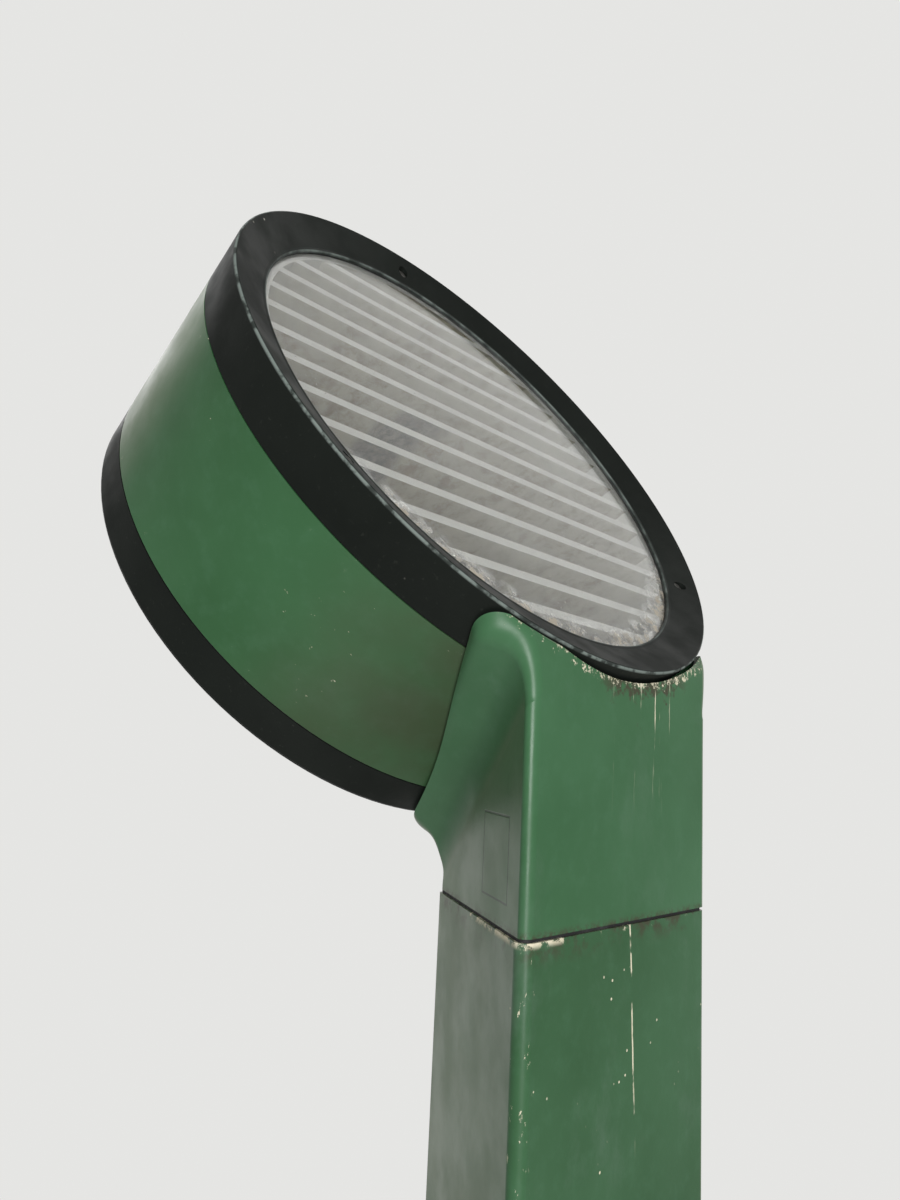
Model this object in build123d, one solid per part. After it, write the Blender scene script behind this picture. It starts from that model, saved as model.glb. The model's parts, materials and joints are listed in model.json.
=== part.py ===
from build123d import *
import os
from math import cos, hypot, radians, sin, sqrt

# Street lamp post: a triangular post on a round base plate, a flared neck and a tilted drum-shaped head.
# Millimetres. The origin is the centre of the base plate's underside, on the post's axis.
# +Z is up and the wide flat face of the post looks along -Y.

# --- Post -----------------------------------------------------------------------------------
POST_WIDTH = 200.0          # front face, between the sharp corners
POST_DEPTH = 146.5          # front face to the sharp back corner
FRONT_CORNER_R = 6.0
BACK_CORNER_R = 4.0
POST_WALL = 4.0
SEAM_Z = 1510.0             # middle of the joint between post and neck
SEAM_GAP = 2.0
FIT = 0.3                   # clearance between pieces that are bolted together

SIDE_LENGTH = hypot(POST_WIDTH / 2, POST_DEPTH)
IN_RADIUS = POST_WIDTH * POST_DEPTH / (POST_WIDTH + 2 * SIDE_LENGTH)
FRONT_Y = -IN_RADIUS        # the post's axis is equally far from its three faces
SIDE_NORMAL_X = POST_DEPTH / SIDE_LENGTH
SIDE_NORMAL_Y = POST_WIDTH / 2 / SIDE_LENGTH
SIDE_SLOPE = POST_WIDTH / 2 / POST_DEPTH

# --- Base -----------------------------------------------------------------------------------
BASE_RADIUS = 170.0
BASE_THICKNESS = 12.0
ANCHOR_CIRCLE_R = 140.0
ANCHOR_HOLE_R = 7.0
CABLE_ENTRY_R = 30.0
SPIGOT_WALL = 6.0
SPIGOT_TOP = 92.0
BASE_SCREW_Z = 54.0

# --- Access door ----------------------------------------------------------------------------
DOOR_Z = 505.0
OPENING_WIDTH = 110.0
OPENING_HEIGHT = 250.0
DOOR_LAP = 8.0
DOOR_THICKNESS = 3.0
DOOR_GASKET = 1.7
HINGE_X = -69.0
HINGE_PIN_R = 2.0
HINGE_BARREL_R = 4.0
KNUCKLE = 24.0
RUNNING = 0.05              # radial clearance of turning fits
LOCK_X = 42.0
DOOR_OUTER_Y = FRONT_Y - FIT - DOOR_GASKET - DOOR_THICKNESS
DOOR_WIDTH = OPENING_WIDTH + 2 * DOOR_LAP
DOOR_HEIGHT = OPENING_HEIGHT + 2 * DOOR_LAP
HINGE_Y = DOOR_OUTER_Y + 1.0

# --- Terminal box inside the post -----------------------------------------------------------
BOX_WIDTH = 84.0
BOX_HEIGHT = 120.0
BOX_DEPTH = 38.0
BOX_WALL = 3.0
BOX_BACK_Y = 6.0
BOX_SCREW_X = 34.5

# --- Head -----------------------------------------------------------------------------------
TILT = 34.1                 # the glass looks forward and up by this angle
DRUM_CENTRE_BACK = 111.9    # centre of the drum's front, behind the post's front face
DRUM_CENTRE_UP = 317.4      # and above the seam
DRUM_R = 210.0              # front edge; the drum narrows slightly towards the back
DRUM_REAR_R = 203.0
DRUM_DEPTH = 178.5
APERTURE_R = 181.7
APERTURE_DEPTH = 10.8
BEZEL_DEPTH = 35.6
HOUSING_FRONT = 36.4
HOUSING_REAR = 148.0
COVER_FRONT = 149.0
HOUSING_WALL = 3.2
SPIGOT_R = 203.0            # the bezel slides over this front spigot of the housing
BEZEL_BORE_R = 203.6
SCREW_CIRCLE_R = 195.0
SCREW_BOSS_R = 6.0
BEZEL_TURN = 3.0            # the bezel and its louvre sit turned this far clockwise
BEZEL_SCREW_ANGLES = {"top": BEZEL_TURN, "right": 120 + BEZEL_TURN, "left": 240 + BEZEL_TURN}
LENS_R = 184.5
LENS_FRONT = 13.25
LENS_THICKNESS = 4.0
LOUVRE_FRONT = 17.4
LOUVRE_REAR = 41.0
LOUVRE_BORE_R = 177.5
BLADE_PITCH = 26.4
BLADE_SHIFT = -3.2          # the middle blade is this far above the drum's axis
BLADE_FRONT = 7.2           # blade thickness at its front and rear edges
BLADE_REAR = 2.4
REFLECTOR_RIM_R = 172.0
REFLECTOR_RIM_DEPTH = 44.0
REFLECTOR_HOLE_R = 24.0
REFLECTOR_HOLE_DEPTH = 113.0
REFLECTOR_LEDGE = REFLECTOR_RIM_DEPTH + 1.5
REFLECTOR_SCREW_R = 180.0
REFLECTOR_SCREW_ANGLES = (60, 180, 300)
CLIP_CIRCLE_R = 194.0
CLIP_DEPTH = 18.8
CLIP_ANGLES = (30, 90, 150, 210, 270, 330)
TRAY_R = 190.0
TRAY_DEPTH = 139.0
TRAY_SCREW_R = 185.0
TRAY_SCREW_ANGLES = (20, 110, 200, 290)
COVER_SCREW_R = 188.0
COVER_SCREW_ANGLES = (45, 135, 225, 315)
DRUM_BOLTS = [(-10, 62), (10, 62), (0, 125)]    # angle from the drum's lowest line, depth
GLAND_DEPTH = 90.0

# --- Neck -----------------------------------------------------------------------------------
NECK_WALL = 3.5
NECK_BOLT_PLACES = [(-50, -28), (50, -28), (0, 40)]
SADDLE_GAP = 2.2            # between the neck's rim and the drum
PAD = 2.0                   # rubber between the saddle bracket and the drum
WEB_BOTTOM = 10.3           # heights above the seam
WEB_TOP = 18.0
CABLE_Y = -14.0
CABLE_R = 4.5

# The neck's sides and back swell outward as they near the drum. Each level is a tilted plane:
# (distance from the level at the rim, side offset, front bow, corner radii).
FLARE_TILT = 39.8
FLARE_RIM_Z = 160.0
FLARE_START = -30.0
NECK_FOOT = -150.0
NECK_TOP = 60.0
NECK_DRAFT = 1.0            # the neck stands this far inside the post's outline
NECK_LEVELS = [
    (-24.0, -1.0, 0.00, 6.5, 4.5),
    (-16.0, 0.9, 0.04, 7.0, 5.5),
    (-8.0, 4.9, 0.15, 8.5, 10.5),
    (0.0, 13.2, 0.40, 12.0, 23.0),
    (6.0, 21.8, 0.70, 15.5, 35.0),
    (12.0, 26.3, 0.90, 18.0, 43.0),
    (18.0, 27.5, 1.00, 19.0, 45.0),
]
FRONT_BOW = 0.00100         # curvature of the front face's plan at the rim

FORWARD = Vector(0, -cos(radians(TILT)), sin(radians(TILT)))
UPWARD = Vector(0, sin(radians(TILT)), cos(radians(TILT)))
DRUM_CENTRE = Vector(0, FRONT_Y + DRUM_CENTRE_BACK, SEAM_Z + DRUM_CENTRE_UP)
DRUM = Plane(origin=DRUM_CENTRE, x_dir=(1, 0, 0), z_dir=FORWARD)
FLARE_UP = Vector(0, sin(radians(FLARE_TILT)), cos(radians(FLARE_TILT)))
FLARE_RIM = Vector(0, FRONT_Y, SEAM_Z + FLARE_RIM_Z)
BOTTOM = (Align.CENTER, Align.CENTER, Align.MIN)
TOP = (Align.CENTER, Align.CENTER, Align.MAX)

parts = {}


# --- Shared shapes --------------------------------------------------------------------------
def triangle(inset=0.0):
    """The post's section, moved in from every face by inset."""
    k = 1 - inset / IN_RADIUS
    left = (-POST_WIDTH / 2 * k, FRONT_Y * k)
    right = (POST_WIDTH / 2 * k, FRONT_Y * k)
    back = (0, (FRONT_Y + POST_DEPTH) * k)
    face = make_face(Polyline(left, right, back, close=True))
    corners = face.vertices().sort_by(Axis.Y)
    face = fillet(corners[:2], max(FRONT_CORNER_R - inset, 2.0))
    corner = face.vertices().sort_by(Axis.Y)[-1]
    return fillet(corner, max(BACK_CORNER_R - inset, 2.0))


def prism(inset, low, high):
    """A length of the triangular section between two heights."""
    return extrude(Pos(0, 0, low) * triangle(inset), high - low)


def tube(inset, wall, low, high):
    """A length of triangular tube, its outside moved in by inset."""
    return prism(inset, low, high) - prism(inset + wall, low - 1, high + 1)


def wall_plane(face, height):
    """A plane on one outer face of the post: x runs along the face, y up, z outward."""
    if face == "front":
        return Plane(origin=(0, FRONT_Y, height), x_dir=(1, 0, 0), z_dir=(0, -1, 0))
    side = 1 if face == "right" else -1
    middle = (side * POST_WIDTH / 4, FRONT_Y + POST_DEPTH / 2, height)
    along = (-SIDE_NORMAL_Y, side * SIDE_NORMAL_X, 0)
    return Plane(origin=middle, x_dir=along, z_dir=(side * SIDE_NORMAL_X, SIDE_NORMAL_Y, 0))


def bar(radius, low, high):
    """A round bar on the local Z axis."""
    return Pos(0, 0, low) * Cylinder(radius, high - low, align=BOTTOM)


def screw(radius, length, head_radius, head_height, socket=0.45):
    """A cap screw: its head stands on the plane and its shank goes down."""
    body = bar(radius, -length, 0.01) + bar(head_radius, 0, head_height)
    key = extrude(RegularPolygon(head_radius * socket, 6), head_height * 0.6)
    return body - Pos(0, 0, head_height * 0.4 + 0.01) * key


def turned(points):
    """A piece turned about the drum's axis from (radius, depth) corners; depth runs back."""
    outline = Polyline(*[(radius, -depth) for radius, depth in points], close=True)
    return DRUM * revolve(Plane.XZ * make_face(outline), Axis.Z)


def on_drum(shape, radius, angle, depth):
    """Places a shape at a clock angle round the drum's axis, its Z pointing forward."""
    turn = Rot(0, 0, -angle)
    return DRUM * (turn * (Pos(0, radius, -depth) * shape))


def on_drum_wall(shape, radius, angle, depth):
    """Places a shape near the drum's lowest line, its Z pointing outward from the drum's axis."""
    turn = Rot(0, 0, angle)
    return DRUM * (turn * (Pos(0, -radius, -depth) * (Rot(90, 0, 0) * shape)))


def drum_radius(depth):
    """Outer radius of the slightly tapered drum."""
    return DRUM_R + (DRUM_REAR_R - DRUM_R) * depth / DRUM_DEPTH


def drum_layer(inside, outside, front, rear):
    """A tapered ring that follows the drum's outside, between two offsets from it."""
    return turned([
        (drum_radius(front) + inside, front),
        (drum_radius(front) + outside, front),
        (drum_radius(rear) + outside, rear),
        (drum_radius(rear) + inside, rear),
    ])


def drum_core(offset):
    """The space inside the drum's outline grown by offset, run on past both ends."""
    return turned([(0, -20), (drum_radius(-20) + offset, -20), (drum_radius(230) + offset, 230), (0, 230)])


# --- Base and post --------------------------------------------------------------------------
def base_plate():
    plate = bar(BASE_RADIUS, 0, BASE_THICKNESS)
    plate = chamfer(plate.edges().group_by(Axis.Z)[-1], 3)
    plate -= bar(CABLE_ENTRY_R, -1, BASE_THICKNESS + 1)
    for hole in PolarLocations(ANCHOR_CIRCLE_R, 4, start_angle=45):
        plate -= hole * bar(ANCHOR_HOLE_R, -1, BASE_THICKNESS + 1)
    return plate


def base_spigot():
    """A triangular collar on the base plate that the post slips over."""
    collar = tube(POST_WALL + FIT, SPIGOT_WALL, BASE_THICKNESS, SPIGOT_TOP)
    for place in base_screw_places():
        collar -= place * bar(4.05, -14, 1)
    return collar


def base_screw_places():
    """Two screws through each face of the post into the base plate's spigot."""
    return [wall_plane(face, BASE_SCREW_Z).location * Pos(x, 0, 0)
            for face in ("front", "right", "left") for x in (-36, 36)]


def base_screws():
    return [place * screw(4.0, 13.0, 6.5, 4.0) for place in base_screw_places()]


def sleeve_screw_places():
    """The sleeve's screws are on the face that looks back and to the right."""
    return [wall_plane("right", SEAM_Z - 45).location * Pos(x, 0, 0) for x in (-34, 34)]


def sleeve_screws():
    return [place * screw(3.0, 11.0, 5.0, 3.0) for place in sleeve_screw_places()]


def rail_screw_places():
    """The terminal rail is held through both back faces of the post."""
    return [wall_plane(face, DOOR_Z + z).location * Pos(side * 12, 0, 0)
            for face, side in (("right", -1), ("left", 1)) for z in (-60, 60)]


def rail_screws():
    return [place * screw(2.5, 9.0, 4.5, 2.6) for place in rail_screw_places()]


def hinge_screw_places():
    return [wall_plane("front", DOOR_Z + z).location * Pos(HINGE_X - 7.5, 0, 2.0)
            for z in (-100, -86, 86, 100)]


def hinge_screws():
    return [place * screw(1.5, 5.5, 2.6, 1.4) for place in hinge_screw_places()]


def post_shell():
    post = tube(0, POST_WALL, BASE_THICKNESS, SEAM_Z - SEAM_GAP / 2)
    opening = fillet(Box(OPENING_WIDTH, 20, OPENING_HEIGHT).edges().filter_by(Axis.Y), 10)
    post -= Pos(0, FRONT_Y, DOOR_Z) * opening
    for place in base_screw_places():
        post -= place * bar(4.2, -POST_WALL - 1, 1)
    for place in sleeve_screw_places():
        post -= place * bar(3.2, -POST_WALL - 1, 1)
    for place in rail_screw_places():
        post -= place * bar(2.7, -POST_WALL - 1, 1)
    for place in hinge_screw_places():
        post -= place * bar(1.55, -POST_WALL - 3, 1)
    return post


def earth_stud():
    stud = bar(4.0, BASE_THICKNESS, 46)
    nut = extrude(RegularPolygon(7.5, 6), 6) - bar(4.0, -1, 7)
    return Pos(0, 48, 0) * (stud + Pos(0, 0, BASE_THICKNESS + 14) * nut)


# --- Access door ----------------------------------------------------------------------------
def door_slab(width, height, thickness, radius):
    """A rounded upright slab, its outside on the door's outer face."""
    slab = Box(width, thickness, height, align=(Align.CENTER, Align.MIN, Align.CENTER))
    return fillet(slab.edges().filter_by(Axis.Y), radius)


def knuckles(first, count, gap):
    """Every second knuckle of the hinge, bottom to top."""
    length = KNUCKLE - gap
    start = DOOR_Z - 2.5 * KNUCKLE
    bottoms = [start + KNUCKLE * (first + 2 * i) + gap / 2 for i in range(count)]
    return [Pos(HINGE_X, HINGE_Y, z) * bar(HINGE_BARREL_R, 0, length) for z in bottoms]


def access_door():
    door = Pos(0, DOOR_OUTER_Y, DOOR_Z) * door_slab(DOOR_WIDTH, DOOR_HEIGHT, DOOR_THICKNESS, 14)
    for barrel in knuckles(1, 2, 0.8):
        z = barrel.center().Z
        link = Box(10, 2.6, KNUCKLE - 0.8, align=(Align.MIN, Align.MIN, Align.CENTER))
        door += barrel + Pos(HINGE_X, DOOR_OUTER_Y, z) * link
    door -= Pos(HINGE_X, HINGE_Y, DOOR_Z) * bar(HINGE_PIN_R + RUNNING, -100, 100)
    door -= Pos(LOCK_X, FRONT_Y, DOOR_Z) * Rot(90, 0, 0) * bar(8.0 + RUNNING, -20, 20)
    return door


def door_gasket():
    y = DOOR_OUTER_Y + DOOR_THICKNESS
    seal = door_slab(DOOR_WIDTH - 4, DOOR_HEIGHT - 4, DOOR_GASKET, 12)
    seal -= Pos(0, -1, 0) * door_slab(DOOR_WIDTH - 13, DOOR_HEIGHT - 13, DOOR_GASKET + 2, 8)
    return Pos(0, y, DOOR_Z) * seal


def hinge_leaf():
    """The fixed half of the hinge, on the post beside the door."""
    leaf = None
    for barrel in knuckles(0, 3, 0.8):
        z = barrel.center().Z
        web = Box(6, 4.9, KNUCKLE - 0.8, align=(Align.MAX, Align.MAX, Align.CENTER))
        piece = barrel + Pos(HINGE_X, FRONT_Y, z) * web
        leaf = piece if leaf is None else leaf + piece
    plate = Box(7, 2.0, 216, align=(Align.CENTER, Align.MAX, Align.CENTER))
    leaf += Pos(HINGE_X - 7.5, FRONT_Y, DOOR_Z) * plate
    leaf -= Pos(HINGE_X, HINGE_Y, DOOR_Z) * bar(HINGE_PIN_R + RUNNING, -100, 100)
    for place in hinge_screw_places():
        leaf -= place * bar(1.6, -5, 3)
    return leaf


def hinge_pin():
    height = 5 * KNUCKLE
    pin = bar(HINGE_PIN_R, -height / 2, height / 2) + bar(HINGE_BARREL_R - 0.6, height / 2, height / 2 + 2)
    return Pos(HINGE_X, HINGE_Y, DOOR_Z) * pin


def lock_plane():
    return Plane(origin=(LOCK_X, DOOR_OUTER_Y, DOOR_Z), x_dir=(1, 0, 0), z_dir=(0, -1, 0))


def lock_barrel():
    """Turned with a three-sided key from outside."""
    body = bar(11.0, FIT, 4.0) + bar(8.0, -14.0, FIT + 0.1) + bar(5.0, -17.6, -14.0)
    socket = extrude(RegularPolygon(5.5, 3), 6)
    return lock_plane() * (body - Pos(0, 0, 0.5) * socket - bar(1.5, -18.0, -12.0))


def lock_cam():
    """A tongue that stands upright when unlocked and turns behind the post's wall."""
    tongue = Pos(0, 9, -17.4) * Box(13, 30, 3.0, align=BOTTOM)
    return lock_plane() * (tongue - bar(5.05, -20, -10))


def lock_screw():
    return lock_plane() * (Pos(0, 0, -17.8) * (Rot(180, 0, 0) * screw(1.45, 4.5, 3.2, 1.8)))


# --- Terminal box in the post ---------------------------------------------------------------
def terminal_rail():
    plate = Pos(0, BOX_BACK_Y + FIT, DOOR_Z) * Box(102, 2, 180, align=(Align.CENTER, Align.MIN, Align.CENTER))
    for face, side in (("right", -1), ("left", 1)):
        tab = Pos(side * 12, 0, -POST_WALL - FIT) * Box(26, 150, 2.5, align=TOP)
        plate += wall_plane(face, DOOR_Z).location * tab
    for place in rail_screw_places():
        plate -= place * bar(2.55, -12, 0)
    for x in (-BOX_SCREW_X, BOX_SCREW_X):
        plate -= Pos(x, BOX_BACK_Y, DOOR_Z) * Rot(90, 0, 0) * bar(2.1, -5, 5)
    return plate


def terminal_box():
    hollow_width = BOX_WIDTH - 2 * BOX_WALL
    hollow_height = BOX_HEIGHT - 2 * BOX_WALL
    outer = Box(BOX_WIDTH, BOX_DEPTH, BOX_HEIGHT, align=(Align.CENTER, Align.MAX, Align.CENTER))
    inner = Box(hollow_width, BOX_DEPTH, hollow_height, align=(Align.CENTER, Align.MAX, Align.CENTER))
    inner = Pos(0, -BOX_WALL, 0) * inner
    shell = Pos(0, BOX_BACK_Y, DOOR_Z) * (fillet(outer.edges().filter_by(Axis.Y), 5) - inner)
    shell -= Pos(0, CABLE_Y, DOOR_Z) * bar(8.0, 50, 70)
    shell -= Pos(0, CABLE_Y, DOOR_Z) * bar(8.0, -70, -50)
    for x in (-BOX_SCREW_X, BOX_SCREW_X):
        shell -= Pos(x, BOX_BACK_Y, DOOR_Z) * Rot(90, 0, 0) * bar(2.1, -5, 5)
    return shell


def terminal_box_lid():
    lid = Box(BOX_WIDTH, BOX_WALL, BOX_HEIGHT, align=(Align.CENTER, Align.MAX, Align.CENTER))
    lid = fillet(lid.edges().filter_by(Axis.Y), 5)
    lip = Box(BOX_WIDTH - 7, 2, BOX_HEIGHT - 7, align=(Align.CENTER, Align.MIN, Align.CENTER))
    return Pos(0, BOX_BACK_Y - BOX_DEPTH - 0.1, DOOR_Z) * (lid + lip)


def box_screws():
    return [Pos(x, BOX_BACK_Y - 3, DOOR_Z) * Rot(90, 0, 0) * screw(2.0, 7.0, 3.6, 2.4)
            for x in (-BOX_SCREW_X, BOX_SCREW_X)]


def terminal_strip():
    strip = Box(60, 16, 30, align=(Align.CENTER, Align.MAX, Align.CENTER))
    for x in (-22.5, -7.5, 7.5, 22.5):
        strip -= Pos(x, -16, 8) * Rot(90, 0, 0) * bar(2.6, -4, 4)
        strip -= Pos(x, -16, -8) * Rot(90, 0, 0) * bar(2.6, -4, 4)
        strip -= Pos(x, -8, -16) * bar(2.8, -1, 8)
    return Pos(0, BOX_BACK_Y - 3.1, DOOR_Z - 10) * strip


def gland(bore, neck_up, neck_down):
    """A cable gland: threaded body, hexagon and dome nut, on the local Z axis, wall at z = 0."""
    body = bar(7.8, -neck_down, 0.1) + extrude(RegularPolygon(10.5, 6), 5)
    body += Pos(0, 0, 5) * Cone(9.0, 6.5, neck_up - 5, align=BOTTOM)
    return body - bar(bore, -neck_down - 1, neck_up + 1)


def box_glands():
    top = Pos(0, CABLE_Y, DOOR_Z + 60.1) * gland(CABLE_R + 0.1, 20, 6)
    low = Pos(0, CABLE_Y, DOOR_Z - 60.1) * Rot(180, 0, 0) * gland(CABLE_R + 0.1, 20, 6)
    return [top, low]


# --- Joint between post and neck ------------------------------------------------------------
def joint_holes(radius):
    """Three bolt holes and the cable's hole through the plates at the seam."""
    holes = Pos(0, CABLE_Y, SEAM_Z) * bar(15, -20, 60)
    for x, y in NECK_BOLT_PLACES:
        holes += Pos(x, y, SEAM_Z) * bar(radius, -20, 60)
    return holes


def post_sleeve():
    post_inset = POST_WALL + FIT
    neck_inset = NECK_DRAFT + NECK_WALL + FIT
    wall = 5.0
    sleeve = tube(post_inset, wall, SEAM_Z - 90, SEAM_Z + 0.8)
    sleeve += tube(neck_inset, post_inset + wall - neck_inset, SEAM_Z, SEAM_Z + 3)
    sleeve += prism(neck_inset, SEAM_Z + 2, SEAM_Z + 10)
    sleeve -= joint_holes(4.3)
    for place in sleeve_screw_places():
        sleeve -= place * bar(3.05, -12, 0)
    return sleeve


def seam_gasket():
    half = SEAM_GAP / 2 - 0.05
    return tube(1.6, POST_WALL + FIT - 1.7, SEAM_Z - half, SEAM_Z + half)


def neck_bolts():
    flipped = Rot(180, 0, 0) * screw(4.0, 30, 6.5, 8)
    return [Pos(x, y, SEAM_Z + 2 - 0.1) * flipped for x, y in NECK_BOLT_PLACES]


# --- Neck shell and saddle ------------------------------------------------------------------
def level_plane(height):
    """Its x runs across the post and its y back and down along the level."""
    return Plane(origin=FLARE_RIM + FLARE_UP * height, x_dir=(1, 0, 0), z_dir=FLARE_UP)


def to_level(x, y, height):
    """A point of the plan, seen straight down on a level plane."""
    back = (y - FLARE_RIM.Y - height * FLARE_UP.Y) / cos(radians(FLARE_TILT))
    return (x, back)


def level_section(height, offset, bow, front_radius, back_radius, inset):
    """One level of the neck: a rounded triangle with a slightly bowed front."""
    side = offset - inset
    bow = max(bow, 0.02) * FRONT_BOW
    front = FRONT_Y + inset
    sharp = POST_WIDTH / 2 + side * (SIDE_NORMAL_X + SIDE_NORMAL_Y * SIDE_SLOPE) - inset * SIDE_SLOPE
    corner_x = (sqrt(1 + 4 * SIDE_SLOPE * bow * sharp) - 1) / (2 * SIDE_SLOPE * bow)
    corner_y = front + bow * corner_x ** 2
    back_y = corner_y + corner_x / SIDE_SLOPE
    left = to_level(-corner_x, corner_y, height)
    right = to_level(corner_x, corner_y, height)
    back = to_level(0, back_y, height)
    outline = ThreePointArc(left, to_level(0, front, height), right) + Polyline(right, back, left)
    face = make_face(outline)
    corners = face.vertices().sort_by(Axis.Y)
    face = fillet(corners[:2], max(front_radius - inset, 2.0))
    face = fillet(face.vertices().sort_by(Axis.Y)[-1], max(back_radius - inset, 2.0))
    return level_plane(height) * face


def neck_form(inset):
    """The neck's outside, or its inside when inset is the wall."""
    foot = level_section(NECK_FOOT, -NECK_DRAFT, 0, FRONT_CORNER_R, BACK_CORNER_R, inset)
    start = level_section(FLARE_START, -NECK_DRAFT, 0, FRONT_CORNER_R, BACK_CORNER_R, inset)
    flared = [start] + [level_section(*level, inset) for level in NECK_LEVELS]
    above = level_section(NECK_TOP, *NECK_LEVELS[-1][1:], inset)
    return loft([foot, start], ruled=True) + loft(flared) + loft([flared[-1], above], ruled=True)


def saddle_cutter():
    """Room for the drum, open to the front, with the corner between them rounded off."""
    lip = -1.5
    rounding = 3.0
    rim = drum_radius(lip) + SADDLE_GAP
    outline = Polyline(
        (rim, -lip - rounding),
        (drum_radius(DRUM_DEPTH) + SADDLE_GAP, -DRUM_DEPTH),
        (drum_radius(DRUM_DEPTH) + SADDLE_GAP, -300),
        (0, -300),
        (0, 100),
        (400, 100),
        (400, -lip),
        (rim + rounding, -lip),
    )
    outline += RadiusArc((rim + rounding, -lip), (rim, -lip - rounding), rounding)
    return DRUM * revolve(Plane.XZ * make_face(outline), Axis.Z)


def neck_shell():
    shell = neck_form(0) - saddle_cutter()
    shell -= Pos(0, 0, SEAM_Z + SEAM_GAP / 2) * Box(400, 400, 200, align=TOP)
    shell -= neck_form(NECK_WALL)
    web = prism(NECK_WALL - 1.0, SEAM_Z + WEB_BOTTOM, SEAM_Z + WEB_TOP) - joint_holes(4.3)
    return shell + web


def drum_side(low, high):
    """The slab of space between two depths of the drum."""
    return turned([(0, low), (400, low), (400, high), (0, high)])


def saddle_bracket():
    """Stands on the neck's web and carries the drum through a rubber pad."""
    clearance = PAD + 0.3
    outer = prism(6.0, SEAM_Z + WEB_TOP + FIT, SEAM_Z + 220)
    outer -= drum_core(clearance)
    inner = prism(11.0, SEAM_Z + WEB_TOP + 8, SEAM_Z + 220)
    inner -= drum_core(clearance + 9)
    bracket = outer - inner
    for x, y in NECK_BOLT_PLACES:
        bracket += Pos(x, y, SEAM_Z) * bar(9, WEB_TOP + 7, WEB_TOP + 16)
    bracket = bracket & drum_side(42, 144)
    bracket -= Pos(0, CABLE_Y, SEAM_Z) * bar(15, 0, 40)
    for x, y in NECK_BOLT_PLACES:
        bracket -= Pos(x, y, SEAM_Z) * bar(4.05, 0, 60)
    for angle, depth in DRUM_BOLTS:
        bracket -= on_drum_wall(bar(4.05, -20, 40), drum_radius(depth), angle, depth)
    bracket -= on_drum_wall(bar(13, -20, 40), drum_radius(GLAND_DEPTH), 0, GLAND_DEPTH)
    return bracket


def saddle_pad():
    pad = drum_layer(0.15, PAD + 0.15, 46, 140) & prism(9.0, SEAM_Z + 20, SEAM_Z + 220)
    for angle, depth in DRUM_BOLTS:
        pad -= on_drum_wall(bar(4.6, -20, 20), drum_radius(depth), angle, depth)
    return pad - on_drum_wall(bar(13, -20, 20), drum_radius(GLAND_DEPTH), 0, GLAND_DEPTH)


def drum_bolts():
    """Driven from inside the drum into the saddle bracket."""
    flip = Rot(180, 0, 0)
    seat = HOUSING_WALL + 0.8
    return [on_drum_wall(flip * screw(4.0, 28, 6.5, 6), drum_radius(depth) - seat, angle, depth)
            for angle, depth in DRUM_BOLTS]


def drum_gland():
    return on_drum_wall(gland(CABLE_R + 0.1, 24, 12), drum_radius(GLAND_DEPTH) + 0.2, 0, GLAND_DEPTH)


# --- Drum -----------------------------------------------------------------------------------
def drum_housing():
    inner_front = drum_radius(HOUSING_FRONT) - HOUSING_WALL
    inner_rear = drum_radius(HOUSING_REAR) - HOUSING_WALL
    shell = turned([
        (SPIGOT_R - 3, 11.5),
        (SPIGOT_R, 11.5),
        (SPIGOT_R, HOUSING_FRONT),
        (drum_radius(HOUSING_FRONT), HOUSING_FRONT),
        (drum_radius(HOUSING_REAR), HOUSING_REAR),
        (inner_rear, HOUSING_REAR),
        (inner_rear, 145),
        (180, 145),
        (180, 141.3),
        (inner_rear, 141.3),
        (inner_front, REFLECTOR_LEDGE + 3.5),
        (175, REFLECTOR_LEDGE + 3.5),
        (175, REFLECTOR_LEDGE),
        (inner_front, REFLECTOR_LEDGE),
        (inner_front - 0.5, HOUSING_FRONT + 4),
        (SPIGOT_R - 3, HOUSING_FRONT + 2),
    ])
    for angle in BEZEL_SCREW_ANGLES.values():
        shell -= on_drum(bar(SCREW_BOSS_R + 0.4, 0, 8), SCREW_CIRCLE_R, angle, 15.4)
        shell += on_drum(bar(7.6, 0, 16.6), SCREW_CIRCLE_R, angle, 32)
        shell -= on_drum(bar(2.58, -8, 20), SCREW_CIRCLE_R, angle, 32)
    for angle in REFLECTOR_SCREW_ANGLES:
        shell -= on_drum(bar(1.55, -8, 8), REFLECTOR_SCREW_R, angle, REFLECTOR_LEDGE)
    for angle in TRAY_SCREW_ANGLES:
        shell -= on_drum(bar(2.05, -8, 8), TRAY_SCREW_R, angle, 143)
    for angle in COVER_SCREW_ANGLES:
        shell -= on_drum(bar(2.55, -8, 8), COVER_SCREW_R, angle, 143)
    for angle, depth in DRUM_BOLTS:
        shell -= on_drum_wall(bar(4.3, -20, 20), drum_radius(depth), angle, depth)
    return shell - on_drum_wall(bar(8.3, -20, 20), drum_radius(GLAND_DEPTH), 0, GLAND_DEPTH)


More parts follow.
